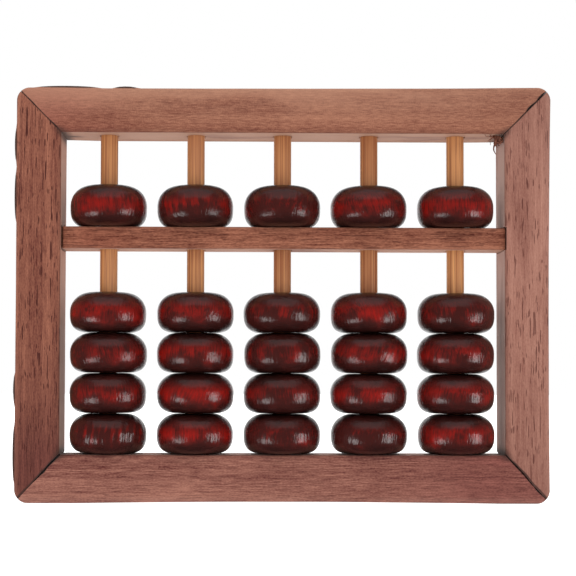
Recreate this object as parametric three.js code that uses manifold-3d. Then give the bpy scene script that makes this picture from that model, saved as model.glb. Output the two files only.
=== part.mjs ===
// A small five-rod abacus: one bead above the beam and four below it on each rod.
// Millimetres, +Z up, +X to the right, front towards -Y.
// The origin is under the middle of the bottom rail, on the surface that the frame stands on.

import * as THREE from 'three';
import { mergeVertices } from 'three/addons/utils/BufferGeometryUtils.js';
import Module from 'manifold-3d';

const wasm = await Module();
wasm.setup();

// ---- driving dimensions ----

const FRAME_WIDTH = 123.6;
const FRAME_HEIGHT = 95.9;
const FRAME_DEPTH = 11;
const RAIL_WIDTH = { bottom: 11.1, top: 10.95, left: 10.8, right: 10.9 };
const CORNER_RADIUS = 2.2;
const MITRE_GAP = 0.25;

const BEAM_HEIGHT = 5.1;
const BEAM_DEPTH = 8.2;
const BEAM_UNDERSIDE = 58.35;
const BEAM_END = 3; // how far each end of the beam goes into its side rail

const ROD_COUNT = 5;
const ROD_PITCH = 20.19;
const ROD_RADIUS = 2.04;
const ROD_END = 6; // how far each end of a rod goes into its rail
const FIT_GAP = 0.25; // between a rod or a beam end and the wood round it

const BEAD_RADIUS = 8.94;
const BEAD_FLAT_RADIUS = 4.2;
const BEAD_BORE_RADIUS = 2.36;
const UPPER_BEAD_HEIGHT = 9.65;
const LOWER_BEAD_HEIGHT = 9.28;
const LOWER_BEADS_PER_ROD = 4;
const REST_GAP = 0.04; // between a bead and what it rests on

const ROUND_SIDES = 16; // sides of a rod and of its hole
const BEAD_SIDES = 20;
const BEAD_RIM_STEPS = 6;
const CORNER_STEPS = 3;
const CUT_OVERRUN = 1; // how far a cutting tool stands out of the face that it cuts

// ---- places worked out from them ----

const insideLeft = -FRAME_WIDTH / 2 + RAIL_WIDTH.left;
const insideRight = FRAME_WIDTH / 2 - RAIL_WIDTH.right;
const insideMiddle = (insideLeft + insideRight) / 2;
const insideBottom = RAIL_WIDTH.bottom;
const insideTop = FRAME_HEIGHT - RAIL_WIDTH.top;
const beamTop = BEAM_UNDERSIDE + BEAM_HEIGHT;
const beamMiddle = BEAM_UNDERSIDE + BEAM_HEIGHT / 2;
const firstRodX = insideMiddle - ((ROD_COUNT - 1) / 2) * ROD_PITCH;
const rodXs = Array.from({ length: ROD_COUNT }, (_, i) => firstRodX + i * ROD_PITCH);

// ---- materials ----

const material = (color, roughness) => new THREE.MeshStandardMaterial({ color, roughness, metalness: 0 });
const stainedWood = (color) => material(color, 0.6);
const bamboo = () => material(0xaa734e, 0.65);
const lacquer = () => material(0x522925, 0.2);

// ---- solids and booleans ----

function toSolid(geometry) {
  const bare = geometry.clone();
  bare.deleteAttribute('normal');
  bare.deleteAttribute('uv');
  const merged = mergeVertices(bare, 1e-4);
  const vertProperties = new Float32Array(merged.attributes.position.array);
  const triVerts = new Uint32Array(merged.index.array);
  return new wasm.Manifold(new wasm.Mesh({ numProp: 3, vertProperties, triVerts }));
}

function toGeometry(solid) {
  const { vertProperties, triVerts, numProp } = solid.getMesh();
  const positions = new Float32Array((vertProperties.length / numProp) * 3);
  for (let i = 0; i < positions.length / 3; i += 1) {
    positions.set(vertProperties.subarray(i * numProp, i * numProp + 3), i * 3);
  }
  const geometry = new THREE.BufferGeometry();
  geometry.setAttribute('position', new THREE.BufferAttribute(positions, 3));
  geometry.setIndex(new THREE.BufferAttribute(new Uint32Array(triVerts), 1));
  geometry.computeVertexNormals();
  return geometry;
}

function cut(body, tools) {
  const result = tools.reduce((solid, tool) => solid.subtract(toSolid(tool)), toSolid(body));
  return toGeometry(result);
}

function mesh(name, geometry, itsMaterial, position = [0, 0, 0]) {
  const result = new THREE.Mesh(geometry, itsMaterial);
  result.name = name;
  result.position.set(...position);
  return result;
}

// An upright cylinder from z = bottom to z = top.
function roundBar(radius, x, bottom, top) {
  const geometry = new THREE.CylinderGeometry(radius, radius, top - bottom, ROUND_SIDES);
  geometry.rotateX(Math.PI / 2);
  return geometry.translate(x, 0, (bottom + top) / 2);
}

// ---- frame ----

// One end of a rail seen from the front: x runs in from the end, y in from the outer edge.
// The mitre runs from the frame's sharp outer corner to its inner corner, set back by half the gap.
function mitredEnd(width, neighbourWidth) {
  const along = new THREE.Vector2(neighbourWidth, width).normalize();
  const start = new THREE.Vector2(along.y, -along.x).multiplyScalar(MITRE_GAP / 2);
  const centre = new THREE.Vector2(CORNER_RADIUS, CORNER_RADIUS);
  const fromCentre = start.clone().sub(centre);
  const lead = fromCentre.dot(along);
  const arcReach = -lead - Math.sqrt(lead ** 2 - fromCentre.lengthSq() + CORNER_RADIUS ** 2);
  const arcEnd = fromCentre.clone().addScaledVector(along, arcReach);
  const inner = start.clone().addScaledVector(along, (width - start.y) / along.y);
  const arc = [];
  const from = Math.atan2(arcEnd.y, arcEnd.x);
  for (let i = 0; i <= CORNER_STEPS; i += 1) {
    const angle = from + ((-Math.PI / 2 - from) * i) / CORNER_STEPS;
    arc.push(new THREE.Vector2(Math.cos(angle), Math.sin(angle)).multiplyScalar(CORNER_RADIUS).add(centre));
  }
  return [inner, ...arc];
}

// A rail in its own frame: x along it from its middle, z = 0 at its outer edge, y through its depth.
function railBlank(length, width, startNeighbour, endNeighbour) {
  const start = mitredEnd(width, startNeighbour).map(({ x, y }) => new THREE.Vector2(x - length / 2, y));
  const end = mitredEnd(width, endNeighbour).map(({ x, y }) => new THREE.Vector2(length / 2 - x, y));
  const outline = new THREE.Shape([...start, ...end.reverse()]);
  const geometry = new THREE.ExtrudeGeometry(outline, { depth: FRAME_DEPTH, bevelEnabled: false });
  geometry.rotateX(Math.PI / 2);
  return geometry.translate(0, FRAME_DEPTH / 2, 0);
}

// Blind holes in a rail's inner edge, at the given places along it.
const rodHoles = (width, places) =>
  places.map((x) => roundBar(ROD_RADIUS + FIT_GAP, x, width - ROD_END - FIT_GAP, width + CUT_OVERRUN));

// The blind mortise in a side rail's inner edge for the beam's end, at the given place along it.
function beamMortise(width, place) {
  const depth = BEAM_END + FIT_GAP + CUT_OVERRUN;
  const tool = new THREE.BoxGeometry(BEAM_HEIGHT + 2 * FIT_GAP, BEAM_DEPTH + 2 * FIT_GAP, depth);
  return tool.translate(place, 0, width - BEAM_END - FIT_GAP + depth / 2);
}

function bottomRail() {
  const blank = railBlank(FRAME_WIDTH, RAIL_WIDTH.bottom, RAIL_WIDTH.left, RAIL_WIDTH.right);
  return mesh('bottom_rail', cut(blank, rodHoles(RAIL_WIDTH.bottom, rodXs)), stainedWood(0x8d594e));
}

function topRail() {
  const blank = railBlank(FRAME_WIDTH, RAIL_WIDTH.top, RAIL_WIDTH.right, RAIL_WIDTH.left);
  const places = rodXs.map((x) => -x);
  const geometry = cut(blank, rodHoles(RAIL_WIDTH.top, places));
  const rail = mesh('top_rail', geometry, stainedWood(0x9e6754), [0, 0, FRAME_HEIGHT]);
  rail.rotation.y = Math.PI;
  return rail;
}

function leftRail() {
  const blank = railBlank(FRAME_HEIGHT, RAIL_WIDTH.left, RAIL_WIDTH.top, RAIL_WIDTH.bottom);
  const geometry = cut(blank, [beamMortise(RAIL_WIDTH.left, FRAME_HEIGHT / 2 - beamMiddle)]);
  const rail = mesh('left_rail', geometry, stainedWood(0x845041), [-FRAME_WIDTH / 2, 0, FRAME_HEIGHT / 2]);
  rail.rotation.y = Math.PI / 2;
  return rail;
}

function rightRail() {
  const blank = railBlank(FRAME_HEIGHT, RAIL_WIDTH.right, RAIL_WIDTH.bottom, RAIL_WIDTH.top);
  const geometry = cut(blank, [beamMortise(RAIL_WIDTH.right, beamMiddle - FRAME_HEIGHT / 2)]);
  const rail = mesh('right_rail', geometry, stainedWood(0xa27162), [FRAME_WIDTH / 2, 0, FRAME_HEIGHT / 2]);
  rail.rotation.y = -Math.PI / 2;
  return rail;
}

function beam() {
  const length = insideRight - insideLeft + 2 * BEAM_END;
  const bar = new THREE.BoxGeometry(length, BEAM_DEPTH, BEAM_HEIGHT).translate(insideMiddle, 0, 0);
  const reach = BEAM_HEIGHT / 2 + CUT_OVERRUN;
  const holes = rodXs.map((x) => roundBar(ROD_RADIUS + FIT_GAP, x, -reach, reach));
  return mesh('beam', cut(bar, holes), stainedWood(0x895542), [0, 0, beamMiddle]);
}

// ---- rods and beads ----

function rod(number, x) {
  const geometry = roundBar(ROD_RADIUS, 0, insideBottom - ROD_END, insideTop + ROD_END);
  return mesh(`rod_${number}`, geometry, bamboo(), [x, 0, 0]);
}

// A flat ring above and below, a half-ellipse round the rim and a straight bore, turned about z.
function beadGeometry(height) {
  const rim = [];
  for (let i = 0; i <= BEAD_RIM_STEPS; i += 1) {
    const angle = Math.PI * (i / BEAD_RIM_STEPS - 0.5);
    const radius = BEAD_FLAT_RADIUS + (BEAD_RADIUS - BEAD_FLAT_RADIUS) * Math.cos(angle);
    rim.push(new THREE.Vector2(radius, (height / 2) * Math.sin(angle)));
  }
  const boreBottom = new THREE.Vector2(BEAD_BORE_RADIUS, -height / 2);
  const boreTop = new THREE.Vector2(BEAD_BORE_RADIUS, height / 2);
  const geometry = new THREE.LatheGeometry([boreBottom, ...rim, boreTop, boreBottom.clone()], BEAD_SIDES);
  return geometry.rotateX(Math.PI / 2);
}

function upperBead(number, x) {
  const z = beamTop + REST_GAP + UPPER_BEAD_HEIGHT / 2;
  return mesh(`upper_bead_${number}`, beadGeometry(UPPER_BEAD_HEIGHT), lacquer(), [x, 0, z]);
}

// The lower beads of one rod, stacked on the bottom rail and numbered from the lowest.
function lowerBeads(number, x) {
  const step = LOWER_BEAD_HEIGHT + REST_GAP;
  const lowest = insideBottom + REST_GAP + LOWER_BEAD_HEIGHT / 2;
  return Array.from({ length: LOWER_BEADS_PER_ROD }, (_, i) => {
    const name = `lower_bead_${number}_${i + 1}`;
    return mesh(name, beadGeometry(LOWER_BEAD_HEIGHT), lacquer(), [x, 0, lowest + i * step]);
  });
}

// ---- assembly ----

const group = new THREE.Group();
group.add(bottomRail(), topRail(), leftRail(), rightRail(), beam());
rodXs.forEach((x, i) => {
  group.add(rod(i + 1, x), upperBead(i + 1, x), ...lowerBeads(i + 1, x));
});

export default group;
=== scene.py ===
"""Looks of a small five-rod abacus: stained mitred frame, bamboo rods and lacquered wooden beads.

Metres, in the frame's own axes: +Z up, +X right, the front faces -Y.
"""

import math
import random
from collections import namedtuple

import bmesh
import bpy
from mathutils import Euler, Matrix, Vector, noise


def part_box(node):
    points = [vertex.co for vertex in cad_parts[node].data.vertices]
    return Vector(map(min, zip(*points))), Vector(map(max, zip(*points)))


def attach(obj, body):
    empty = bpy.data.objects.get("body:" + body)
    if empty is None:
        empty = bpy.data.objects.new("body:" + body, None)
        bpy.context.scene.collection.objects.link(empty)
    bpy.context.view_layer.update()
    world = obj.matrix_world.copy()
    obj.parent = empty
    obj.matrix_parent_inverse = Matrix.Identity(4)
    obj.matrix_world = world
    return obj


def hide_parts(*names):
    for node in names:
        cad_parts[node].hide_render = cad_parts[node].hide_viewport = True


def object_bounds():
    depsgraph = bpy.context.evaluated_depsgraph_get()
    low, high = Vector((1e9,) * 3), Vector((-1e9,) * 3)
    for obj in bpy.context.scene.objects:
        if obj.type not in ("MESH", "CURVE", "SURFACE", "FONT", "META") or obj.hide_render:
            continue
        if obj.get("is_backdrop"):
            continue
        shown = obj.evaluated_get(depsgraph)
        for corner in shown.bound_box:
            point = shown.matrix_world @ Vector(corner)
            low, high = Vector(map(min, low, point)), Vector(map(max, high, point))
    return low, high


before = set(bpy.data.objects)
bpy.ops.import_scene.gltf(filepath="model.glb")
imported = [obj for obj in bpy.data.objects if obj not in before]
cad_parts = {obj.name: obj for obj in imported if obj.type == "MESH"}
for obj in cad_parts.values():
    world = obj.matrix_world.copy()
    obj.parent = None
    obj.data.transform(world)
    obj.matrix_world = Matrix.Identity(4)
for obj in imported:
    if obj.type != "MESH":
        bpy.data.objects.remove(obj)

MM = 0.001
cad_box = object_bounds()


# ---------------------------------------------------------------- sizes from the frame

def span(node, axis):
    """Lowest and highest coordinate of a CAD node along an axis (0, 1 or 2)."""
    low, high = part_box(node)
    return low[axis], high[axis]


LEFT, INSIDE_LEFT = span("left_rail", 0)
INSIDE_RIGHT, RIGHT = span("right_rail", 0)
BOTTOM, INSIDE_BOTTOM = span("bottom_rail", 2)
INSIDE_TOP, TOP = span("top_rail", 2)
FRONT, BACK = span("top_rail", 1)
BEAM_LOW, BEAM_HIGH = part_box("beam")
DEPTH = BACK - FRONT
RODS = (1, 2, 3, 4, 5)
LOWER_BEADS = (1, 2, 3, 4)
ROD_X = {number: sum(span(f"rod_{number}", 0)) / 2 for number in RODS}
ROD_RADIUS = (span("rod_1", 0)[1] - span("rod_1", 0)[0]) / 2
ROD_LOW, ROD_HIGH = span("rod_1", 2)
BEAD_RADIUS = (span("upper_bead_5", 0)[1] - span("upper_bead_5", 0)[0]) / 2
BEAD_HALF_HEIGHT = (span("upper_bead_5", 2)[1] - span("upper_bead_5", 2)[0]) / 2
FLAT_RADIUS = 4.1 * MM   # of a bead's flat ends
BORE_RADIUS = 2.36 * MM
BORE_CHAMFER = 0.25 * MM

CORNER_RADIUS = 3.2 * MM
CORNER_TIP = CORNER_RADIUS * (1 - math.sqrt(0.5))   # where the mitre meets the round corner
OUTER_ARRIS = 0.75 * MM
INNER_ARRIS = 0.3 * MM
HOLE_GAP = 0.22 * MM
NOTCH = 0.5 * MM   # how deep the right rail is notched in front of the beam
FAR_FROM_JOINT = 10 * MM   # the joint attribute of wood that has no mitre
RIM_STEPS = 30   # of a bead's outline, from flat to flat
BEAD_SIDES = 96
ROD_SIDES = 48
ROD_TONE = {1: 0.05, 2: -0.05, 3: -0.22, 4: -0.22, 5: 0.16}   # how golden a rod is, or how brown


# ---------------------------------------------------------------- mesh helpers

def shell_of_box(sizes, place):
    """Points and quads of a closed box of so many cells along each axis; place(i, j, k) gives each point."""
    index = {}
    points = []
    faces = []

    def corner(cell):
        if cell not in index:
            index[cell] = len(points)
            points.append(place(*cell))
        return index[cell]

    for axis in range(3):
        u, v = (axis + 1) % 3, (axis + 2) % 3
        for side in (0, sizes[axis]):
            for a in range(sizes[u]):
                for b in range(sizes[v]):
                    quad = []
                    for da, db in ((0, 0), (1, 0), (1, 1), (0, 1)):
                        cell = [0, 0, 0]
                        cell[axis], cell[u], cell[v] = side, a + da, b + db
                        quad.append(corner(tuple(cell)))
                    faces.append(quad)
    return points, faces


def mesh_object(name, points, faces, sharp_angle=40):
    """A closed mesh object with outward faces, smooth except where it turns sharply."""
    mesh = bpy.data.meshes.new(name)
    mesh.from_pydata([tuple(p) for p in points], [], faces)
    work = bmesh.new()
    work.from_mesh(mesh)
    bmesh.ops.recalc_face_normals(work, faces=work.faces)
    work.to_mesh(mesh)
    work.free()
    smooth(mesh, sharp_angle)
    piece = bpy.data.objects.new(name, mesh)
    bpy.context.scene.collection.objects.link(piece)
    return piece


def smooth(mesh, sharp_angle=40):
    mesh.shade_smooth()
    mesh.set_sharp_from_angle(angle=math.radians(sharp_angle))


def set_attribute(piece, name, values):
    """Stores a number or a vector for each vertex, which the piece's material reads."""
    if isinstance(values[0], Vector):
        attribute = piece.data.attributes.new(name, "FLOAT_VECTOR", "POINT")
        attribute.data.foreach_set("vector", [c for value in values for c in value])
    else:
        attribute = piece.data.attributes.new(name, "FLOAT", "POINT")
        attribute.data.foreach_set("value", values)


def cut_holes(piece, cutters):
    """Subtracts the cutter objects from the piece and deletes them."""
    for cutter in cutters:
        modifier = piece.modifiers.new("hole", "BOOLEAN")
        modifier.operation = "DIFFERENCE"
        modifier.solver = "EXACT"
        modifier.object = cutter
    evaluated = piece.evaluated_get(bpy.context.evaluated_depsgraph_get())
    cut = bpy.data.meshes.new_from_object(evaluated)
    piece.modifiers.clear()
    piece.data = cut
    smooth(cut)
    for cutter in cutters:
        bpy.data.objects.remove(cutter)


def rings_to_faces(rows, sides, closed):
    """Quads between the rings of points; a closed row of rings joins its last ring to its first."""
    faces = []
    for row in range(rows if closed else rows - 1):
        below, above = row * sides, (row + 1) % rows * sides
        for side in range(sides):
            after = (side + 1) % sides
            faces.append([below + side, below + after, above + after, above + side])
    if not closed:
        faces.append(list(range(sides))[::-1])
        faces.append(list(range((rows - 1) * sides, rows * sides)))
    return faces


def round_cutter(x, radius, bottom, top, sides=48):
    """An upright round bar that cuts a rod's hole."""
    turns = [2 * math.pi * i / sides for i in range(sides)]
    points = [(x + radius * math.cos(a), radius * math.sin(a), z) for z in (bottom, top) for a in turns]
    return mesh_object("cutter", points, rings_to_faces(2, sides, closed=False))


def box_cutter(low, high):
    """A box that cuts a mortise or a notch."""
    def place(i, j, k):
        return Vector((high[0] if i else low[0], high[1] if j else low[1], high[2] if k else low[2]))

    return mesh_object("cutter", *shell_of_box((1, 1, 1), place))


def wander(place, seed, period, amount):
    """A slow wave from 0 to amount, the same on every run."""
    return amount * (0.5 + 0.5 * noise.noise(Vector((place / period, seed * 7.3, 0.5))))


def fade(value, start, end):
    """1 up to start, 0 from end on, and smooth between."""
    t = min(1.0, max(0.0, (value - start) / (end - start)))
    return 1 - t * t * (3 - 2 * t)


# ---------------------------------------------------------------- material helpers

def feed(tree, socket, value):
    """Links a socket to another node's output, or gives it a value."""
    if isinstance(value, bpy.types.NodeSocket):
        tree.links.new(value, socket)
    else:
        socket.default_value = value


def add_node(tree, kind, inputs=None, **settings):
    """A shader node with its settings and inputs."""
    made = tree.nodes.new("ShaderNode" + kind)
    for key, value in settings.items():
        setattr(made, key, value)
    for key, value in (inputs or {}).items():
        feed(tree, made.inputs[key], value)
    return made


class Shading:
    """A short way to write a node material."""

    def __init__(self, name):
        self.material = bpy.data.materials.new(name)
        self.material.use_nodes = True
        self.tree = self.material.node_tree
        self.surface = self.tree.nodes["Principled BSDF"]

    def node(self, kind, inputs=None, **settings):
        return add_node(self.tree, kind, inputs, **settings)

    def attribute(self, name, output="Fac"):
        return self.node("Attribute", attribute_name=name).outputs[output]

    def parts(self, vector):
        return self.node("SeparateXYZ", {0: vector}).outputs

    def stretched(self, vector, scale):
        return self.node("Mapping", {"Vector": vector, "Scale": scale}).outputs[0]

    def noise(self, vector, scale, detail=2.0, roughness=0.5, distortion=0.0):
        inputs = {"Vector": self.stretched(vector, scale), "Scale": 1.0, "Detail": detail,
                  "Roughness": roughness, "Distortion": distortion}
        return self.node("TexNoise", inputs).outputs[0]

    def math(self, operation, a, b=0.0, clamp=False):
        return self.node("Math", {0: a, 1: b}, operation=operation, use_clamp=clamp).outputs[0]

    def times(self, *factors):
        product = factors[0]
        for factor in factors[1:]:
            product = self.math("MULTIPLY", product, factor)
        return product

    def blend(self, middle, *layers):
        """middle plus weight x (texture - 0.5) for each (texture, weight)."""
        total = middle
        for texture, weight in layers:
            swing = self.node("Math", {0: texture, 1: weight, 2: -0.5 * weight}, operation="MULTIPLY_ADD")
            total = self.math("ADD", swing.outputs[0], total)
        return total

    def remap(self, value, low, high, to_low=0.0, to_high=1.0):
        inputs = {"Value": value, "From Min": low, "From Max": high, "To Min": to_low, "To Max": to_high}
        return self.node("MapRange", inputs, interpolation_type="SMOOTHSTEP").outputs[0]

    def mix(self, amount, first, second, blend="MIX"):
        made = self.node("Mix", {0: amount, 6: first, 7: second}, data_type="RGBA", blend_type=blend)
        return made.outputs[2]

    def bump(self, height, distance, strength=1.0):
        return self.node("Bump", {"Height": height, "Distance": distance, "Strength": strength}).outputs[0]

    def set(self, **values):
        for key, value in values.items():
            feed(self.tree, self.surface.inputs[key.replace("_", " ")], value)


def srgb(red, green, blue, gain=1.0):
    """A colour given in 0-255 display values, as the linear colour that a shader takes."""
    def linear(value):
        value /= 255
        return gain * (value / 12.92 if value <= 0.04045 else ((value + 0.055) / 1.055) ** 2.4)

    return (linear(red), linear(green), linear(blue), 1.0)


# ---------------------------------------------------------------- materials

# Dark brown for the joints, dried varnish and dirty places, and for painted shade in inner corners, along
# inner arrises and at the beam's ends.
DARK_BROWN = (0.05, 0.02, 0.014, 1.0)
WHITE = (1.0, 1.0, 1.0, 1.0)

# patch darkens or bleaches the wood within patch_reach of patch_place along the grain. fibre holds the
# fibres' fineness along and across, contrast how strongly they show, and flecks how dark the pores are.
Wood = namedtuple("Wood", "name pale deep patch patch_place patch_reach fibre contrast flecks")


def stained_wood(look):
    """Wood under a reddish stain: fibres and short dark pores along the grain, pale rubbed edges, dark
    joints, with painted light on its inner faces and undersides and painted shade in its inner corners and
    arrises.

    The grain attribute is the place in metres with x along the wood. The second vector attribute holds how
    pale the place is from rubbing and painted light, how dark it is from dirty places and painted shade, and
    how varnished it is, and joint its distance from the wall of a mitre.
    """
    s = Shading(look.name)
    grain = s.attribute("grain", "Vector")
    # Paleness from rubbing and painted light, darkness from dirty places and painted shade, and varnish.
    worn_and_lit, dirt_and_shade, varnish = s.parts(s.attribute("wear_light_shade", "Vector"))[:3]
    clouds = s.noise(grain, (38, 150, 150), detail=3)
    bands = s.noise(grain, (9, 900, 900), detail=3, roughness=0.6, distortion=0.3)
    streaks = s.noise(grain, (look.fibre[0] * 0.3, look.fibre[1], look.fibre[1]), detail=1.5)
    fibres = s.noise(grain, (look.fibre[0] * 2.0, look.fibre[1], look.fibre[1]), detail=1, roughness=0.6)
    tone = s.blend(0.5, (clouds, 1.2), (bands, 1.2), (streaks, 2.3 * look.contrast),
                   (fibres, 1.7 * look.contrast))
    colour = s.mix(s.math("MAXIMUM", s.math("MINIMUM", tone, 1.5), -0.3), look.deep, look.pale)
    colour.node.clamp_factor = False

    along = s.parts(grain)[0]
    far = s.math("ABSOLUTE", s.math("SUBTRACT", along, look.patch_place))
    near_patch = s.remap(far, look.patch_reach, look.patch_reach * 0.2)
    colour = s.mix(s.times(near_patch, s.remap(clouds, 0.25, 0.6, 0.3, 0.9)), colour,
                   s.mix(1.0, colour, look.patch, "MULTIPLY"))

    stray = s.node("TexNoise", {"Vector": s.stretched(grain, (170, 520, 520)), "Scale": 1.0, "Detail": 1.0})
    scattered = s.node("VectorMath", {0: stray.outputs["Color"], 1: (3.4, 2.6, 2.6),
                                      2: s.stretched(grain, (230, 3900, 3900))}, operation="MULTIPLY_ADD")
    cells = s.node("TexVoronoi", {"Vector": scattered.outputs[0], "Scale": 1.0, "Randomness": 1.0},
                   feature="F1", distance="EUCLIDEAN")
    chance = s.node("SeparateColor", {0: cells.outputs["Color"]}).outputs[0]
    inside = s.math("SUBTRACT", s.remap(chance, 0.4, 1.0, 0.0, 0.52), cells.outputs["Distance"])
    fleck = s.times(s.remap(inside, 0.0, 0.09), look.flecks)
    colour = s.mix(fleck, colour, s.mix(1.0, look.deep, (0.55, 0.38, 0.38, 1.0), "MULTIPLY"))

    # Paler where the edges are rubbed, and as painted light on the inner faces, the undersides and the top
    # rail's upper side.
    paler = s.mix(1.0, look.pale, (1.36, 1.76, 1.95, 1.0), "MULTIPLY")
    colour = s.mix(s.times(worn_and_lit, s.remap(clouds, 0.25, 0.6, 0.15, 0.5)), colour, paler)
    # Dark brown in the joints and under varnish and dirty places, and as painted shade in the inner corners,
    # along the inner arrises and at the beam's ends.
    gap = s.math("ADD", s.attribute("joint"), s.times(s.math("SUBTRACT", clouds, 0.5), 0.45 * MM))
    dark = s.math("MAXIMUM", s.remap(gap, 0.3 * MM, 0.06 * MM, 0.0, 0.85), s.times(dirt_and_shade, 0.85))
    dark = s.math("MAXIMUM", dark, s.remap(varnish, 0.15, 0.55, 0.0, 0.95))
    colour = s.mix(dark, colour, DARK_BROWN)

    relief = s.blend(0.0, (fibres, 0.5), (streaks, 0.5), (fleck, -1.0))
    rough = s.blend(0.56, (fibres, 0.25), (varnish, -0.3))
    s.set(Base_Color=colour, Normal=s.bump(relief, 0.05 * MM, 0.8), Roughness=rough)
    s.set(Specular_IOR_Level=0.2, Sheen_Weight=0.08, Sheen_Roughness=0.35)
    return s.material


def split_bamboo(name):
    """Bare split bamboo: long fibres in golden and brown stripes, some rods redder than others."""
    s = Shading(name)
    grain = s.attribute("grain", "Vector")
    stripes = s.noise(grain, (12, 2500, 2500), detail=2, roughness=0.6)
    fine = s.noise(grain, (70, 5200, 5200), detail=2)
    clouds = s.noise(grain, (45, 60, 60), detail=2)
    golden = s.math("ADD", s.attribute("tone"), s.blend(0.5, (stripes, 2.4), (clouds, 1.6)))
    colour = s.mix(golden, srgb(145, 81, 41), srgb(212, 148, 91))
    colour = s.mix(s.remap(fine, 0.54, 0.7, 0.0, 0.6), colour, srgb(118, 68, 38))
    colour = s.mix(s.remap(clouds, 0.55, 0.72, 0.0, 0.5), colour, srgb(150, 88, 60))
    s.set(Base_Color=colour, Normal=s.bump(s.blend(0.5, (stripes, 1.0), (fine, 0.6)), 0.06 * MM, 0.7))
    s.set(Roughness=s.remap(fine, 0.2, 0.8, 0.4, 0.6), Specular_IOR_Level=0.4)
    s.set(Sheen_Weight=0.15, Sheen_Roughness=0.35)
    return s.material


def lacquered_wood(name):
    """Wood turned to a bead under clear lacquer: dark red, with painted light as a redder band round its
    middle and painted shade darkening it to near black at its flats.

    The height attribute runs from -1 at the lower flat to 1 at the upper one. tone says how red the bead is,
    and figure how much its growth rings show.
    """
    s = Shading(name)
    grain = s.attribute("grain", "Vector")
    tone = s.attribute("tone")
    figure = s.attribute("figure")
    height = s.attribute("height")
    ring_inputs = {"Vector": s.stretched(grain, (1000, 1000, 160)), "Scale": 0.2, "Distortion": 3.2,
                   "Detail": 2.0, "Detail Scale": 0.9}
    rings = s.node("TexWave", ring_inputs, wave_type="RINGS", rings_direction="Z").outputs[1]
    fibres = s.noise(grain, (3300, 3300, 330), detail=2, roughness=0.6)
    clouds = s.noise(grain, (210, 210, 260), detail=3)

    # The red band round the middle is painted light, and the darkening towards the flats is painted shade;
    # tone, clouds, fibres and rings vary the wood's own red.
    from_middle = s.math("ABSOLUTE", s.math("ADD", height, s.blend(0.0, (clouds, 0.9))))
    band = s.remap(from_middle, 0.66, 0.0)
    redness = s.blend(0.28, (tone, 0.7), (clouds, 2.4), (fibres, 1.8))
    ring_lines = s.times(figure, s.blend(0.0, (rings, 0.8)))
    glow = s.math("MULTIPLY", band, s.math("ADD", redness, ring_lines), clamp=True)
    body = s.mix(s.remap(from_middle, 1.05, 0.35), srgb(34, 14, 12), srgb(62, 22, 19))
    colour = s.mix(glow, body, srgb(138, 20, 14))

    streaks = s.noise(grain, (2100, 2100, 420), detail=1.5)
    relief = s.blend(0.0, (fibres, 0.7), (streaks, 1.0), (s.times(figure, rings), 0.6))
    uneven = s.bump(relief, 0.08 * MM, 1.0)
    s.set(Base_Color=colour, Normal=uneven, Roughness=0.6, Specular_IOR_Level=0.0)
    s.set(Coat_Weight=1.0, Coat_Roughness=0.17, Coat_IOR=1.5, Coat_Normal=uneven)
    return s.material


TOP_WOOD = Wood("stained_wood_top", pale=srgb(155, 102, 79), deep=srgb(111, 59, 44),
                patch=(0.88, 0.66, 0.74, 1.0), patch_place=0.0, patch_reach=34 * MM,
                fibre=(1900, 3100), contrast=0.75, flecks=0.25)
BOTTOM_WOOD = Wood("stained_wood_bottom", pale=srgb(154, 102, 86), deep=srgb(104, 54, 46),
                   patch=(0.72, 0.52, 0.58, 1.0), patch_place=RIGHT - LEFT, patch_reach=50 * MM,
                   fibre=(900, 4200), contrast=0.85, flecks=0.4)
LEFT_WOOD = Wood("stained_wood_left", pale=srgb(155, 98, 76), deep=srgb(98, 47, 36),
                 patch=(0.44, 0.3, 0.38, 1.0), patch_place=0.0, patch_reach=42 * MM,
                 fibre=(900, 4800), contrast=0.52, flecks=1.0)
RIGHT_WOOD = Wood("stained_wood_right", pale=srgb(153, 107, 92), deep=srgb(115, 68, 57),
                  patch=(1.2, 1.23, 1.23, 1.0), patch_place=(TOP - BOTTOM) / 2, patch_reach=46 * MM,
                  fibre=(900, 4800), contrast=0.48, flecks=0.85)
BEAM_WOOD = Wood("stained_wood_beam", pale=srgb(160, 101, 77), deep=srgb(100, 48, 32),
                 patch=(1.0, 0.9, 0.9, 1.0), patch_place=20 * MM, patch_reach=10 * MM,
                 fibre=(800, 4800), contrast=0.8, flecks=0.6)
BAMBOO = split_bamboo("split_bamboo")
LACQUER = lacquered_wood("lacquered_wood")


# ---------------------------------------------------------------- rails

# A rail runs along x from the frame's outline, with across measured in from its outer edge. crown is how
# far its outer side is rounded off, and lip how far the back of its inner edge hangs, both in mm. Next come
# how much paler its outer side is painted, as painted light that is strongest on the top rail's upper side,
# how far the stain is rubbed off its outer arris (bare), and how much darker its outer side and outer arris
# are. gapes are half the openings of its two mitres, in their outer and inner parts. runs are dried runs of
# varnish on its outer edge, as (place, half length) in mm.
Rail = namedtuple("Rail", "name node look slot origin along across length width neighbours "
                          "crown lip faded bare grime gapes runs seed")

X, Z = Vector((1, 0, 0)), Vector((0, 0, 1))
WIDTHS = {"left": INSIDE_LEFT - LEFT, "right": RIGHT - INSIDE_RIGHT,
          "top": TOP - INSIDE_TOP, "bottom": INSIDE_BOTTOM - BOTTOM}
RUN_HEIGHT = 0.5 * MM
CLOSED, FINE, OPEN = 0.05 * MM, 0.16 * MM, 0.52 * MM   # half the width of a mitre's crack

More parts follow.
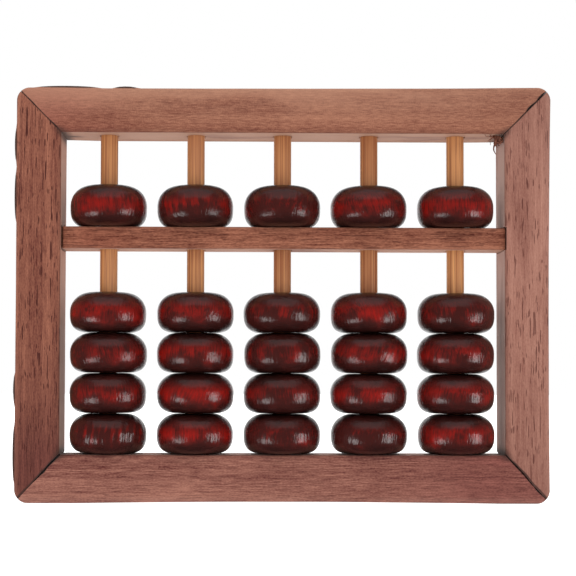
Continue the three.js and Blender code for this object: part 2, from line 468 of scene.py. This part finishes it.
RAILS = (
    Rail("top_rail_wood", "top_rail", TOP_WOOD, "top_rail_wood", Vector((LEFT, 0, TOP)), X, -Z,
         RIGHT - LEFT, WIDTHS["top"], (WIDTHS["left"], WIDTHS["right"]),
         crown=0.5, lip=0.2, faded=1.2, bare=1.0, grime=0.35, gapes=((FINE, FINE), (OPEN, FINE)),
         runs=((12.0, 7.4), (25.4, 2.6)), seed=1),
    Rail("bottom_rail_wood", "bottom_rail", BOTTOM_WOOD, "bottom_rail_wood", Vector((LEFT, 0, BOTTOM)), X, Z,
         RIGHT - LEFT, WIDTHS["bottom"], (WIDTHS["left"], WIDTHS["right"]),
         crown=0.0, lip=0.0, faded=0.1, bare=0.35, grime=0.6, gapes=((CLOSED, OPEN), (OPEN, FINE)),
         runs=(), seed=2),
    Rail("left_rail_wood", "left_rail", LEFT_WOOD, "left_rail_wood", Vector((LEFT, 0, BOTTOM)), Z, X,
         TOP - BOTTOM, WIDTHS["left"], (WIDTHS["bottom"], WIDTHS["top"]),
         crown=0.0, lip=0.0, faded=0.0, bare=0.3, grime=0.75, gapes=((FINE, OPEN), (CLOSED, CLOSED)),
         runs=((11.2, 6.6), (25.8, 3.6), (70.3, 5.8), (82.0, 4.0)), seed=3),
    Rail("right_rail_wood", "right_rail", RIGHT_WOOD, "right_rail_wood", Vector((RIGHT, 0, BOTTOM)), Z, -X,
         TOP - BOTTOM, WIDTHS["right"], (WIDTHS["bottom"], WIDTHS["top"]),
         crown=0.0, lip=0.0, faded=0.0, bare=0.3, grime=0.6, gapes=((CLOSED, OPEN), (CLOSED, CLOSED)),
         runs=(), seed=4),
)

# How far the real outline stands back from the CAD box, in mm: at the start, middle and end of each side.
SET_BACK = {"left": (0.5, 0.52, 0.42), "right": (0.55, 0.64, -0.05), "top": (0.56, 0.38, -0.05),
            "bottom": (-0.25, 0.34, -0.25)}


def curve_through(values, t):
    """A smooth value at t from 0 to 1 that takes the three given values at 0, 0.5 and 1."""
    start, middle, end = values
    return start * (1 - t) * (1 - 2 * t) + middle * 4 * t * (1 - t) + end * t * (2 * t - 1)


def settle(point):
    """Moves a point of a rail in from the box, because the outer edges aren't quite straight or square."""
    sideways = (point.x - LEFT) / (RIGHT - LEFT)
    upwards = (point.z - BOTTOM) / (TOP - BOTTOM)
    share = {"left": (INSIDE_LEFT - point.x) / WIDTHS["left"],
             "right": (point.x - INSIDE_RIGHT) / WIDTHS["right"],
             "bottom": (INSIDE_BOTTOM - point.z) / WIDTHS["bottom"],
             "top": (point.z - INSIDE_TOP) / WIDTHS["top"]}
    back = {}
    for side, part in share.items():
        along = upwards if side in ("left", "right") else sideways
        uneven = wander(along, len(side), 0.11, 0.07)
        back[side] = max(0.0, part) * max(0.0, curve_through(SET_BACK[side], along) + uneven) * MM
    return point + Vector((back["left"] - back["right"], 0, back["bottom"] - back["top"]))


def drop(distance, radius):
    """How far a rounded arris has fallen at a distance from its edge."""
    if distance >= radius:
        return 0.0
    return radius - math.sqrt(max(0.0, radius ** 2 - (radius - distance) ** 2))


def end_line(across, width, neighbour):
    """Where a rail begins at a distance across it: on the mitre, or on the round outer corner."""
    mitre = across * neighbour / width
    if across >= CORNER_RADIUS:
        return mitre
    arc = CORNER_RADIUS - math.sqrt(CORNER_RADIUS ** 2 - (CORNER_RADIUS - across) ** 2)
    return max(mitre, arc)


def outer_distance(x, across, length):
    """Distance from the frame's rounded outline."""
    end = min(x, length - x)
    if end < CORNER_RADIUS and across < CORNER_RADIUS:
        return CORNER_RADIUS - math.hypot(CORNER_RADIUS - end, CORNER_RADIUS - across)
    return across


def crack(share, seed, gape):
    """Half the gap of a mitre at its surface, at a share of the way in across the rail: an uneven line."""
    outer, inner = gape
    opening = inner + (outer - inner) * fade(share, 0.42, 0.55)
    opening *= 1 - 0.8 * fade(share, 0.02, 0.14)
    uneven = 0.5 + 0.5 * noise.noise(Vector((share * 6.4, seed * 3.1, 4.2)))
    return opening * min(1.0, max(0.25, 2.6 * uneven - 0.6))


def crack_depth(across, surface):
    """How open a mitre is below the surface, from 1 at the surface to 0; it's shallow near the outline."""
    return fade(surface, 0.0, (0.5 + 1.1 * (1 - fade(across, 0.5 * MM, 2.5 * MM))) * MM)


def run_of_varnish(rail, x, y):
    """How thick the dried varnish is at a place on a rail's outer face, from 0 to 1."""
    thick = 0.0
    for centre, half in rail.runs:
        reach = abs(x - centre * MM) / (half * MM)
        thick = max(thick, math.sqrt(max(0.0, 1 - reach ** 2)))
    return thick * math.exp(-((y - FRONT - 1.6 * MM) / (2.6 * MM)) ** 2)


def build_rail(rail):
    """A mitred rail with worn arrises, rod holes or a mortise, and slightly uneven faces."""
    xs = spread(1.0, 0.012, 0.012, 0.011)
    us = sorted(spread(rail.width, OUTER_ARRIS, INNER_ARRIS, 0.8 * MM) + [CORNER_TIP])
    vs = [0.0, 0.03, 0.08, 0.14, 0.2, 0.28, 0.4, 0.55, 0.7, 0.85, 0.95, 1.0]

    def place(i, j, k):
        across = us[j]
        surface = min(vs[k], 1 - vs[k]) * DEPTH
        closing = crack_depth(across, surface)
        start = end_line(across, rail.width, rail.neighbours[0]) + 0.01 * MM
        end = rail.length - end_line(across, rail.width, rail.neighbours[1]) - 0.01 * MM
        start += closing * crack(across / rail.width, rail.seed, rail.gapes[0])
        end -= closing * crack(across / rail.width, rail.seed + 1, rail.gapes[1])
        x = start + (end - start) * xs[i]
        edge = outer_distance(x, across, rail.length)
        near_end = 1 - fade(min(x, rail.length - x), 8 * MM, 22 * MM)
        crown = rail.crown * MM * near_end * max(0.0, 1 - across / (8 * MM)) ** 2
        fall = drop(edge, OUTER_ARRIS) + drop(rail.width - across, INNER_ARRIS) + crown
        fall += wander(x, rail.seed + 2, 17 * MM, 0.07 * MM)
        y = FRONT + fall + (DEPTH - 2 * fall) * vs[k]
        share = across / rail.width
        inner = wander(x, rail.seed + 5, 19 * MM, 0.08 * MM) * near_end * share
        outer = RUN_HEIGHT * run_of_varnish(rail, x, y) * (1 - share) ** 6
        lip = rail.lip * MM * (1 - fade(y, 4.3 * MM, BACK - 0.2 * MM)) * share ** 4 * near_end
        offset = across - outer - inner + lip
        return settle(rail.origin + rail.along * x + rail.across * offset + Vector((0, y, 0)))

    points, faces = shell_of_box((len(xs) - 1, len(us) - 1, len(vs) - 1), place)
    piece = mesh_object(rail.name, points, faces)
    cut_holes(piece, rail_cutters(rail.node))
    finish_wood(piece, rail.node, rail.look, rail.slot, rail.seed, lambda p: rail_wear_light_shade(rail, p))


def spread(length, first_round, last_round, step):
    """Places along a line, closer together where its two ends are rounded."""
    arc = [1 - math.cos(math.radians(a)) for a in (0, 22, 40, 56, 72, 90)]
    start = [first_round * a for a in arc]
    end = [length - last_round * a for a in reversed(arc)]
    count = max(1, round((end[0] - start[-1]) / step))
    middle = [start[-1] + (end[0] - start[-1]) * i / count for i in range(1, count)]
    return start + middle + end


def rail_cutters(node):
    """What cuts the rod holes of a top or bottom rail, or the beam's mortise in a side rail."""
    radius = ROD_RADIUS + HOLE_GAP
    if node == "top_rail":
        return [round_cutter(ROD_X[n], radius, INSIDE_TOP - MM, ROD_HIGH + HOLE_GAP) for n in RODS]
    if node == "bottom_rail":
        return [round_cutter(ROD_X[n], radius, ROD_LOW - HOLE_GAP, INSIDE_BOTTOM + MM) for n in RODS]
    gap = Vector((HOLE_GAP, HOLE_GAP, HOLE_GAP))
    low, high = BEAM_LOW - gap, BEAM_HIGH + gap
    if node == "left_rail":
        return [box_cutter(low, Vector((INSIDE_LEFT + MM, high.y, high.z)))]
    notch = box_cutter(Vector((INSIDE_RIGHT - MM, FRONT - MM, low.z + HOLE_GAP / 2)),
                       Vector((INSIDE_RIGHT + NOTCH, low.y + HOLE_GAP, high.z - HOLE_GAP / 2)))
    return [box_cutter(Vector((INSIDE_RIGHT - MM, low.y, low.z)), high), notch]


def rail_wear_light_shade(rail, point):
    """The grain attribute, the attribute of rubbing, dirty places, varnish and painted light and shade, and
    the joint attribute at a point of a rail.
    """
    offset = point - rail.origin
    x, across, y = offset.dot(rail.along), offset.dot(rail.across), point.y
    share = across / rail.width
    surface = max(0.0, min(y - FRONT, BACK - y))
    from_start = x - across * rail.neighbours[0] / rail.width
    from_end = rail.length - x - across * rail.neighbours[1] / rail.width
    closing = crack_depth(across, surface)
    from_start -= closing * crack(share, rail.seed, rail.gapes[0])
    from_end -= closing * crack(share, rail.seed + 1, rail.gapes[1])
    joint = max(0.0, min(from_start, from_end))
    edge = outer_distance(x, across, rail.length)
    worn_and_lit = rail.bare * fade(math.hypot(edge - 0.5 * MM, surface), 0.3 * MM, 1.5 * MM)
    to_inner = rail.width - across
    # The inner faces are painted paler, as painted light; this mask also places the scratch under the top
    # rail.
    inner_face = fade(to_inner, 0.05 * MM, 0.35 * MM) * (1 - fade(surface, 0.15 * MM, 0.5 * MM))
    # Paler towards the rail's outer side as painted light, most on the top rail's upper side.
    worn_and_lit = max(worn_and_lit, 3.0 * inner_face, rail.faded * max(0.0, 1 - share) ** 1.5)
    # Darker near the inner corners of the mitres: painted shade, with dirty crumbs of fibre.
    dirt_and_shade = 0.9 * fade(math.hypot(joint, to_inner), 0.5 * MM, 2.4 * MM)
    # Darker by an uneven amount along the outer side and the outer arris.
    outline = wander(x, rail.seed + 7, 13 * MM, 1.6) - 0.2
    dirt_and_shade = max(dirt_and_shade, rail.grime * fade(edge, 0.02 * MM, 0.28 * MM) * min(1.0, max(0.1, outline)))
    # A dark line along the inner arris near the front and back: painted shade.
    inner_arris_shade = fade(abs(to_inner - 0.1 * MM), 0.1 * MM, 0.4 * MM) * fade(surface, 0.2 * MM, 0.7 * MM)
    dirt_and_shade = max(dirt_and_shade, 0.35 * inner_arris_shade)
    if rail.node == "top_rail":
        dirt_and_shade = max(dirt_and_shade, inner_face * fade(x, 13 * MM, 16 * MM) * fade(abs(y - 0.6 * MM), 0.3 * MM, 1.0 * MM))
    dirt_and_shade = max(dirt_and_shade, rail.grime * fade(edge, 0.05 * MM, 0.3 * MM) * (1 - fade(surface, 0.3 * MM, 0.9 * MM)))
    varnish = run_of_varnish(rail, x, y) * fade(edge, 0.45 * MM, 0.9 * MM)
    return Vector((x, across, y)), Vector((worn_and_lit, dirt_and_shade, varnish)), joint


def finish_wood(piece, node, look, slot, seed, wear_light_shade_at):
    """Gives a wooden piece its attributes and material, and puts it in the frame."""
    notes = [wear_light_shade_at(vertex.co) for vertex in piece.data.vertices]
    offset = Vector((0, seed * 0.11, seed * 0.23))
    set_attribute(piece, "grain", [note[0] + offset for note in notes])
    set_attribute(piece, "wear_light_shade", [note[1] for note in notes])
    set_attribute(piece, "joint", [note[2] for note in notes])
    piece.data.materials.clear()
    piece.data.materials.append(stained_wood(look))
    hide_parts(node)
    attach(piece, "frame")


# ---------------------------------------------------------------- beam

def build_beam():
    """The beam, with its front edges rounded back where they meet the side rails."""
    width = BEAM_HIGH.x - BEAM_LOW.x
    left_seam, right_seam = INSIDE_LEFT, INSIDE_RIGHT + 0.25 * MM
    seam = 0.5 * MM
    xs = {BEAM_LOW.x + width * i / 100 for i in range(101)}
    xs |= {left_seam + seam * i / 6 for i in range(7)} | {right_seam + seam * i / 6 for i in range(7)}
    xs = sorted(xs)
    arris = 0.3 * MM
    height = BEAM_HIGH.z - BEAM_LOW.z
    us = spread(height, arris, arris, 0.6 * MM)
    vs = [0.0, 0.06, 0.2, 0.4, 0.6, 0.8, 1.0]

    def place(i, j, k):
        x, across = xs[i], us[j]
        fall = drop(across, arris) + drop(height - across, arris) + wander(x, 9, 15 * MM, 0.08 * MM)
        groove = 0.6 * MM * max(fade(x - left_seam, 0.0, seam), 1 - fade(x - right_seam, 0.0, seam))
        y = BEAM_LOW.y + fall + groove * (1 - vs[k]) + (BEAM_HIGH.y - BEAM_LOW.y - 2 * fall) * vs[k]
        low = wander(x, 10, 12 * MM, 0.04 * MM)
        high = wander(x, 11, 14 * MM, 0.06 * MM)
        z = BEAM_LOW.z + low + (height - low - high) * across / height
        return Vector((x, y, z))

    def wear_light_shade_at(p):
        # Darker on the beam's front where it meets the side rails: painted shade in the groove.
        seam_shade = max(fade(p.x - left_seam, 0.1 * MM, seam), 1 - fade(p.x - right_seam, 0.0, 0.8 * seam))
        grain = Vector((p.x - LEFT, p.z, p.y))
        edge = min(p.z - BEAM_LOW.z, BEAM_HIGH.z - p.z)
        worn_and_lit = 0.5 * fade(edge, 0.1 * MM, 0.5 * MM)
        # The underside is painted paler, as painted light from the floor.
        underside = fade(p.z - BEAM_LOW.z, 0.15 * MM, 0.4 * MM)
        underside *= 1 - fade(p.y - BEAM_LOW.y, 0.2 * MM, 0.6 * MM)
        return grain, Vector((max(worn_and_lit, 3.0 * underside), 0.6 * seam_shade, 0.0)), FAR_FROM_JOINT

    piece = mesh_object("beam_wood", *shell_of_box((len(xs) - 1, len(us) - 1, len(vs) - 1), place))
    radius = ROD_RADIUS + HOLE_GAP
    cut_holes(piece, [round_cutter(ROD_X[n], radius, BEAM_LOW.z - MM, BEAM_HIGH.z + MM) for n in RODS])
    finish_wood(piece, "beam", BEAM_WOOD, "beam_wood", 6, wear_light_shade_at)


# ---------------------------------------------------------------- rods

def build_rod(number):
    """A bamboo rod with slight ridges along its fibres."""
    rings = 40
    points = []
    for ring in range(rings + 1):
        z = ROD_LOW + (ROD_HIGH - ROD_LOW) * ring / rings
        for side in range(ROD_SIDES):
            angle = 2 * math.pi * side / ROD_SIDES
            around = Vector((math.cos(angle), math.sin(angle), 0))
            ridge = noise.noise(around * 2.6 + Vector((0, 0, z / (40 * MM) + number * 5)))
            radius = ROD_RADIUS * (0.991 + 0.009 * ridge)
            points.append(around * radius + Vector((ROD_X[number], 0, z)))
    faces = rings_to_faces(rings + 1, ROD_SIDES, closed=False)
    piece = mesh_object(f"bamboo_rod_{number}", points, faces)
    set_attribute(piece, "grain", [Vector((p.z, p.x + number * 0.31, p.y)) for p in points])
    set_attribute(piece, "tone", [ROD_TONE[number]] * len(points))
    piece.data.materials.append(BAMBOO)
    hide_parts(f"rod_{number}")
    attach(piece, "frame")


# ---------------------------------------------------------------- torn fibres

def tube(points, thickest, sides=5):
    """Rings of a thread through the points, thickest near its start and drawn out to its end."""
    rings = []
    for i, point in enumerate(points):
        ahead = points[min(i + 1, len(points) - 1)] - points[max(i - 1, 0)]
        turn = ahead.to_track_quat("Z", "Y").to_matrix()
        radius = thickest * (1 - 0.75 * i / (len(points) - 1))
        for side in range(sides):
            angle = 2 * math.pi * side / sides
            rings.append(point + turn @ Vector((radius * math.cos(angle), radius * math.sin(angle), 0)))
    return rings, rings_to_faces(len(points), sides, closed=False)


def thread(start, heading, length, curl, draw):
    """Points of a fibre that leaves start along heading and wanders as it goes."""
    steps = 12
    points = [start]
    direction = heading.normalized()
    for _ in range(steps):
        sway = Vector((draw.gauss(0, 1), draw.gauss(0, 0.4), draw.gauss(0, 1)))
        direction = (direction + curl * sway).normalized()
        points.append(points[-1] + direction * length / steps)
    return points


def build_burr():
    """A tuft of torn fibres left under the top rail, in its corner with the right rail."""
    draw = random.Random(5)
    root = Vector((INSIDE_RIGHT - 1.1 * MM, FRONT + 1.1 * MM, INSIDE_TOP - 0.2 * MM))
    strands = []
    for _ in range(46):
        aside = Vector((draw.uniform(-1.0, 0.9), draw.uniform(-0.5, 0.5), draw.uniform(-1.6, 0.0)))
        start = root + aside * MM
        heading = Vector((draw.gauss(0, 1), draw.gauss(0, 0.3), draw.gauss(-0.5, 0.7)))
        strands.append((thread(start, heading, draw.uniform(0.9, 1.7) * MM, 0.75, draw), 0.2 * MM))
    for length in (4.4, 3.6, 2.6, 4.0):
        start = root + Vector((-0.6, draw.uniform(-0.3, 0.3), -0.1 - draw.uniform(0, 0.5))) * MM
        strands.append((thread(start, Vector((-1, 0, -0.12)), length * MM, 0.2, draw), 0.13 * MM))
    turns = [step / 14 for step in range(15)]
    curl = [root + Vector((-0.4 - 0.8 * math.sin(2.9 * t), 0, -1.3 - 3.1 * t)) * MM for t in turns]
    strands.append((curl, 0.3 * MM))
    points, faces = [], []
    for path, thickness in strands:
        rings, quads = tube(path, thickness)
        faces += [[len(points) + index for index in quad] for quad in quads]
        points += [inside_corner(p) for p in rings]
    piece = mesh_object("corner_burr", points, faces)
    count = len(piece.data.vertices)
    set_attribute(piece, "grain", [Vector((p.z, p.x, p.y)) for p in points])
    set_attribute(piece, "wear_light_shade", [Vector((0, 0.35, 0))] * count)
    set_attribute(piece, "joint", [FAR_FROM_JOINT] * count)
    piece.data.materials.append(stained_wood(BEAM_WOOD._replace(name="torn_fibres", flecks=0.2)))
    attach(piece, "frame")


def inside_corner(point):
    """Keeps a fibre in the opening, clear of the right rail and of the nearest bead when it's pushed up."""
    x = min(point.x, INSIDE_RIGHT - 0.12 * MM)
    y = min(max(point.y, FRONT + 0.25 * MM), FRONT + 1.9 * MM)
    shoulder = (math.hypot(x - ROD_X[5], y) - FLAT_RADIUS - 0.15 * MM) / (BEAD_RADIUS - FLAT_RADIUS)
    if shoulder < 1:
        fall = 1 - (1 - max(0.0, shoulder) ** 2.2) ** (1 / 2.2)
        lowest = INSIDE_TOP - BEAD_HALF_HEIGHT * fall + 0.12 * MM
        return Vector((x, y, min(max(point.z, lowest), INSIDE_TOP + 0.1 * MM)))
    return Vector((x, y, min(point.z, INSIDE_TOP + 0.1 * MM)))


# ---------------------------------------------------------------- beads

def bead_profile(radius, half_height, squareness, fullness):
    """Radius and height of points from the lower bore edge round the rim to the upper bore edge.

    fullness makes the lower half squarer than the upper one.
    """
    hollow = 0.05 * MM
    flat_start = BORE_RADIUS + BORE_CHAMFER
    profile = [(BORE_RADIUS, -half_height + BORE_CHAMFER), (flat_start, -half_height + hollow)]
    for step in range(RIM_STEPS + 1):
        angle = math.pi * (step / RIM_STEPS - 0.5)
        power = 2 / (squareness + (fullness if angle < 0 else 0.0))
        out = max(0.0, math.cos(angle)) ** power
        up = math.copysign(abs(math.sin(angle)) ** power, math.sin(angle))
        profile.append((FLAT_RADIUS + (radius - FLAT_RADIUS) * out, half_height * up))
    profile += [(flat_start, half_height - hollow), (BORE_RADIUS, half_height - BORE_CHAMFER)]
    return profile


def build_bead(node, draw):
    """A turned bead, slightly unlike its neighbours in size, tilt, colour and figure."""
    low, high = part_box(node)
    centre = (low + high) / 2
    most = (high.x - low.x) / 2
    radius = most * draw.uniform(0.988, 0.999)
    half_height = (high.z - low.z) / 2 * draw.uniform(0.992, 0.999)
    profile = bead_profile(radius, half_height, draw.uniform(2.0, 2.15), draw.uniform(0.7, 1.0))
    tilt_angles = [math.radians(draw.uniform(-most_degrees, most_degrees)) for most_degrees in (0.3, 0.4)]
    tilt = Euler((*tilt_angles, 0)).to_matrix()
    lean = Euler((math.radians(draw.gauss(0, 8)), math.radians(draw.gauss(0, 8)), draw.uniform(0, 6.28)))
    pith = Vector((draw.uniform(9, 20) * MM, 0, draw.uniform(-40, 40) * MM))
    shift = Vector((draw.uniform(-0.12, 0.12) * MM, (most - radius) * draw.uniform(-0.9, 0.9), 0))
    tone = draw.random()
    figure = draw.random() ** 3

    turns = [2 * math.pi * side / BEAD_SIDES for side in range(BEAD_SIDES)]
    local = [Vector((r * math.cos(a), r * math.sin(a), z)) for r, z in profile for a in turns]
    placed = [tilt @ p + centre + shift for p in local]
    faces = rings_to_faces(len(profile), BEAD_SIDES, closed=True)
    piece = mesh_object(node.replace("bead", "bead_lacquered"), placed, faces, sharp_angle=50)
    turned = lean.to_matrix()
    set_attribute(piece, "grain", [turned @ p + pith for p in local])
    set_attribute(piece, "height", [p.z / half_height for p in local])
    set_attribute(piece, "tone", [tone] * len(local))
    set_attribute(piece, "figure", [figure] * len(local))
    piece.data.materials.append(LACQUER)
    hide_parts(node)
    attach(piece, node)


for rail in RAILS:
    build_rail(rail)
build_beam()
for number in RODS:
    build_rod(number)
build_burr()
bead_draw = random.Random(11)
for number in RODS:
    build_bead(f"upper_bead_{number}", bead_draw)
for number in RODS:
    for place_in_stack in LOWER_BEADS:
        build_bead(f"lower_bead_{number}_{place_in_stack}", bead_draw)


# ---------------------------------------------------------------- stage, light and camera

FLOOR_GLOW = 1.23


def make_floor():
    """A pale floor that lights itself, so that it comes out white and the frame hardly shades it."""
    size = 6.0
    points = [(-size, -size, 0), (size, -size, 0), (size, size, 0), (-size, size, 0)]
    mesh = bpy.data.meshes.new("floor")
    mesh.from_pydata(points, [], [[0, 1, 2, 3]])
    floor = bpy.data.objects.new("floor", mesh)
    bpy.context.scene.collection.objects.link(floor)
    s = Shading("pale_floor")
    s.set(Base_Color=(0.25, 0.25, 0.25, 1.0), Roughness=0.9, Specular_IOR_Level=0.0)
    s.set(Emission_Color=WHITE, Emission_Strength=FLOOR_GLOW)
    mesh.materials.append(s.material)
    floor.visible_glossy = False
    floor.visible_shadow = False
    floor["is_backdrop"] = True


def make_world():
    """A white room. Matt surfaces get soft light, strongest from above and behind.

    Gloss reflects a dim room with a white sweep behind the frame. The room itself looks white.
    """
    world = bpy.data.worlds.new("studio")
    bpy.context.scene.world = world
    world.use_nodes = True
    world.cycles.sampling_method = "NONE"
    tree = world.node_tree
    tree.nodes.clear()

    def node(kind, inputs=None, **settings):
        return add_node(tree, kind, inputs, **settings)

    def ramp(value, low, high, to_low, to_high):
        inputs = {"Value": value, "From Min": low, "From Max": high, "To Min": to_low, "To Max": to_high}
        return node("MapRange", inputs, interpolation_type="SMOOTHSTEP").outputs[0]

    direction = node("SeparateXYZ", {0: node("TexCoord").outputs["Generated"]}).outputs
    ray = node("LightPath").outputs
    gloss = ramp(direction[1], 0.78, 0.97, 0.04, 1.3)
    from_behind = ramp(direction[1], -0.2, 0.6, 0.8, 1.25)
    from_above = ramp(direction[2], 0.35, 0.95, 0.0, 1.1)
    matt = node("Math", {0: from_behind, 1: from_above}, operation="ADD").outputs[0]
    lit = node("Mix", {0: ray["Is Glossy Ray"], 2: matt, 3: gloss}, data_type="FLOAT").outputs[0]
    seen = node("Mix", {0: ray["Is Camera Ray"], 2: lit, 3: 1.0}, data_type="FLOAT").outputs[0]
    background = node("Background", {"Color": (1, 1, 1, 1), "Strength": seen})
    node("OutputWorld", {0: background.outputs[0]})


def make_light(name, direction, distance, size, radiance, matt):
    """A rectangular light that points at the middle of the frame, for matt surfaces or else for gloss."""
    data = bpy.data.lights.new(name, "AREA")
    data.shape = "RECTANGLE"
    data.size, data.size_y = size
    data.energy = radiance * math.pi * size[0] * size[1]
    light = bpy.data.objects.new(name, data)
    bpy.context.scene.collection.objects.link(light)
    target = Vector((0, 0, (TOP + BOTTOM) / 2))
    light.location = target + Vector(direction).normalized() * distance
    light.rotation_euler = (target - light.location).to_track_quat("-Z", "Y").to_euler()
    light.visible_diffuse = matt
    light.visible_glossy = not matt
    light.visible_camera = False


def make_lights():
    """Soft highlights on the tops of the beads, and two small ones on each bead's front."""
    make_light("overhead_sheen", (0, -0.32, 0.95), 0.55, (0.84, 0.86), 0.45, matt=False)
    make_light("front_left_card", (-0.74, -0.6, -0.36), 0.5, (0.2, 0.16), 4.6, matt=False)
    make_light("front_right_card", (0.8, -0.5, -0.2), 0.5, (0.17, 0.2), 5.7, matt=False)


CAMERA_PLACE = Vector((-11.35, -322.5, 26.2)) * MM
CAMERA_RAISED, CAMERA_TURNED, CAMERA_ROLLED = (math.radians(angle) for angle in (2.013, -0.82, 0.152))
FOCAL_LENGTH = 86.73   # for a 36 mm wide picture


def make_camera():
    """A camera low in front of the frame, shifted to bring the frame to the middle of the picture."""
    data = bpy.data.cameras.new("camera")
    data.sensor_width = 36.0
    data.lens = FOCAL_LENGTH
    data.shift_x, data.shift_y = 0.06, 0.09
    camera = bpy.data.objects.new("camera", data)
    bpy.context.scene.collection.objects.link(camera)
    camera.location = CAMERA_PLACE
    level = math.pi / 2
    aim = Euler((level + CAMERA_RAISED, 0, CAMERA_TURNED)).to_matrix()
    aim = aim @ Euler((0, 0, CAMERA_ROLLED)).to_matrix()
    camera.rotation_euler = aim.to_euler()
    bpy.context.scene.camera = camera


make_floor()
make_world()
make_lights()
make_camera()
bpy.context.scene.view_settings.view_transform = "Standard"

boxes = {"cad": cad_box, "visual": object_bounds()}
{name: [list(corner) for corner in box] for name, box in boxes.items()}
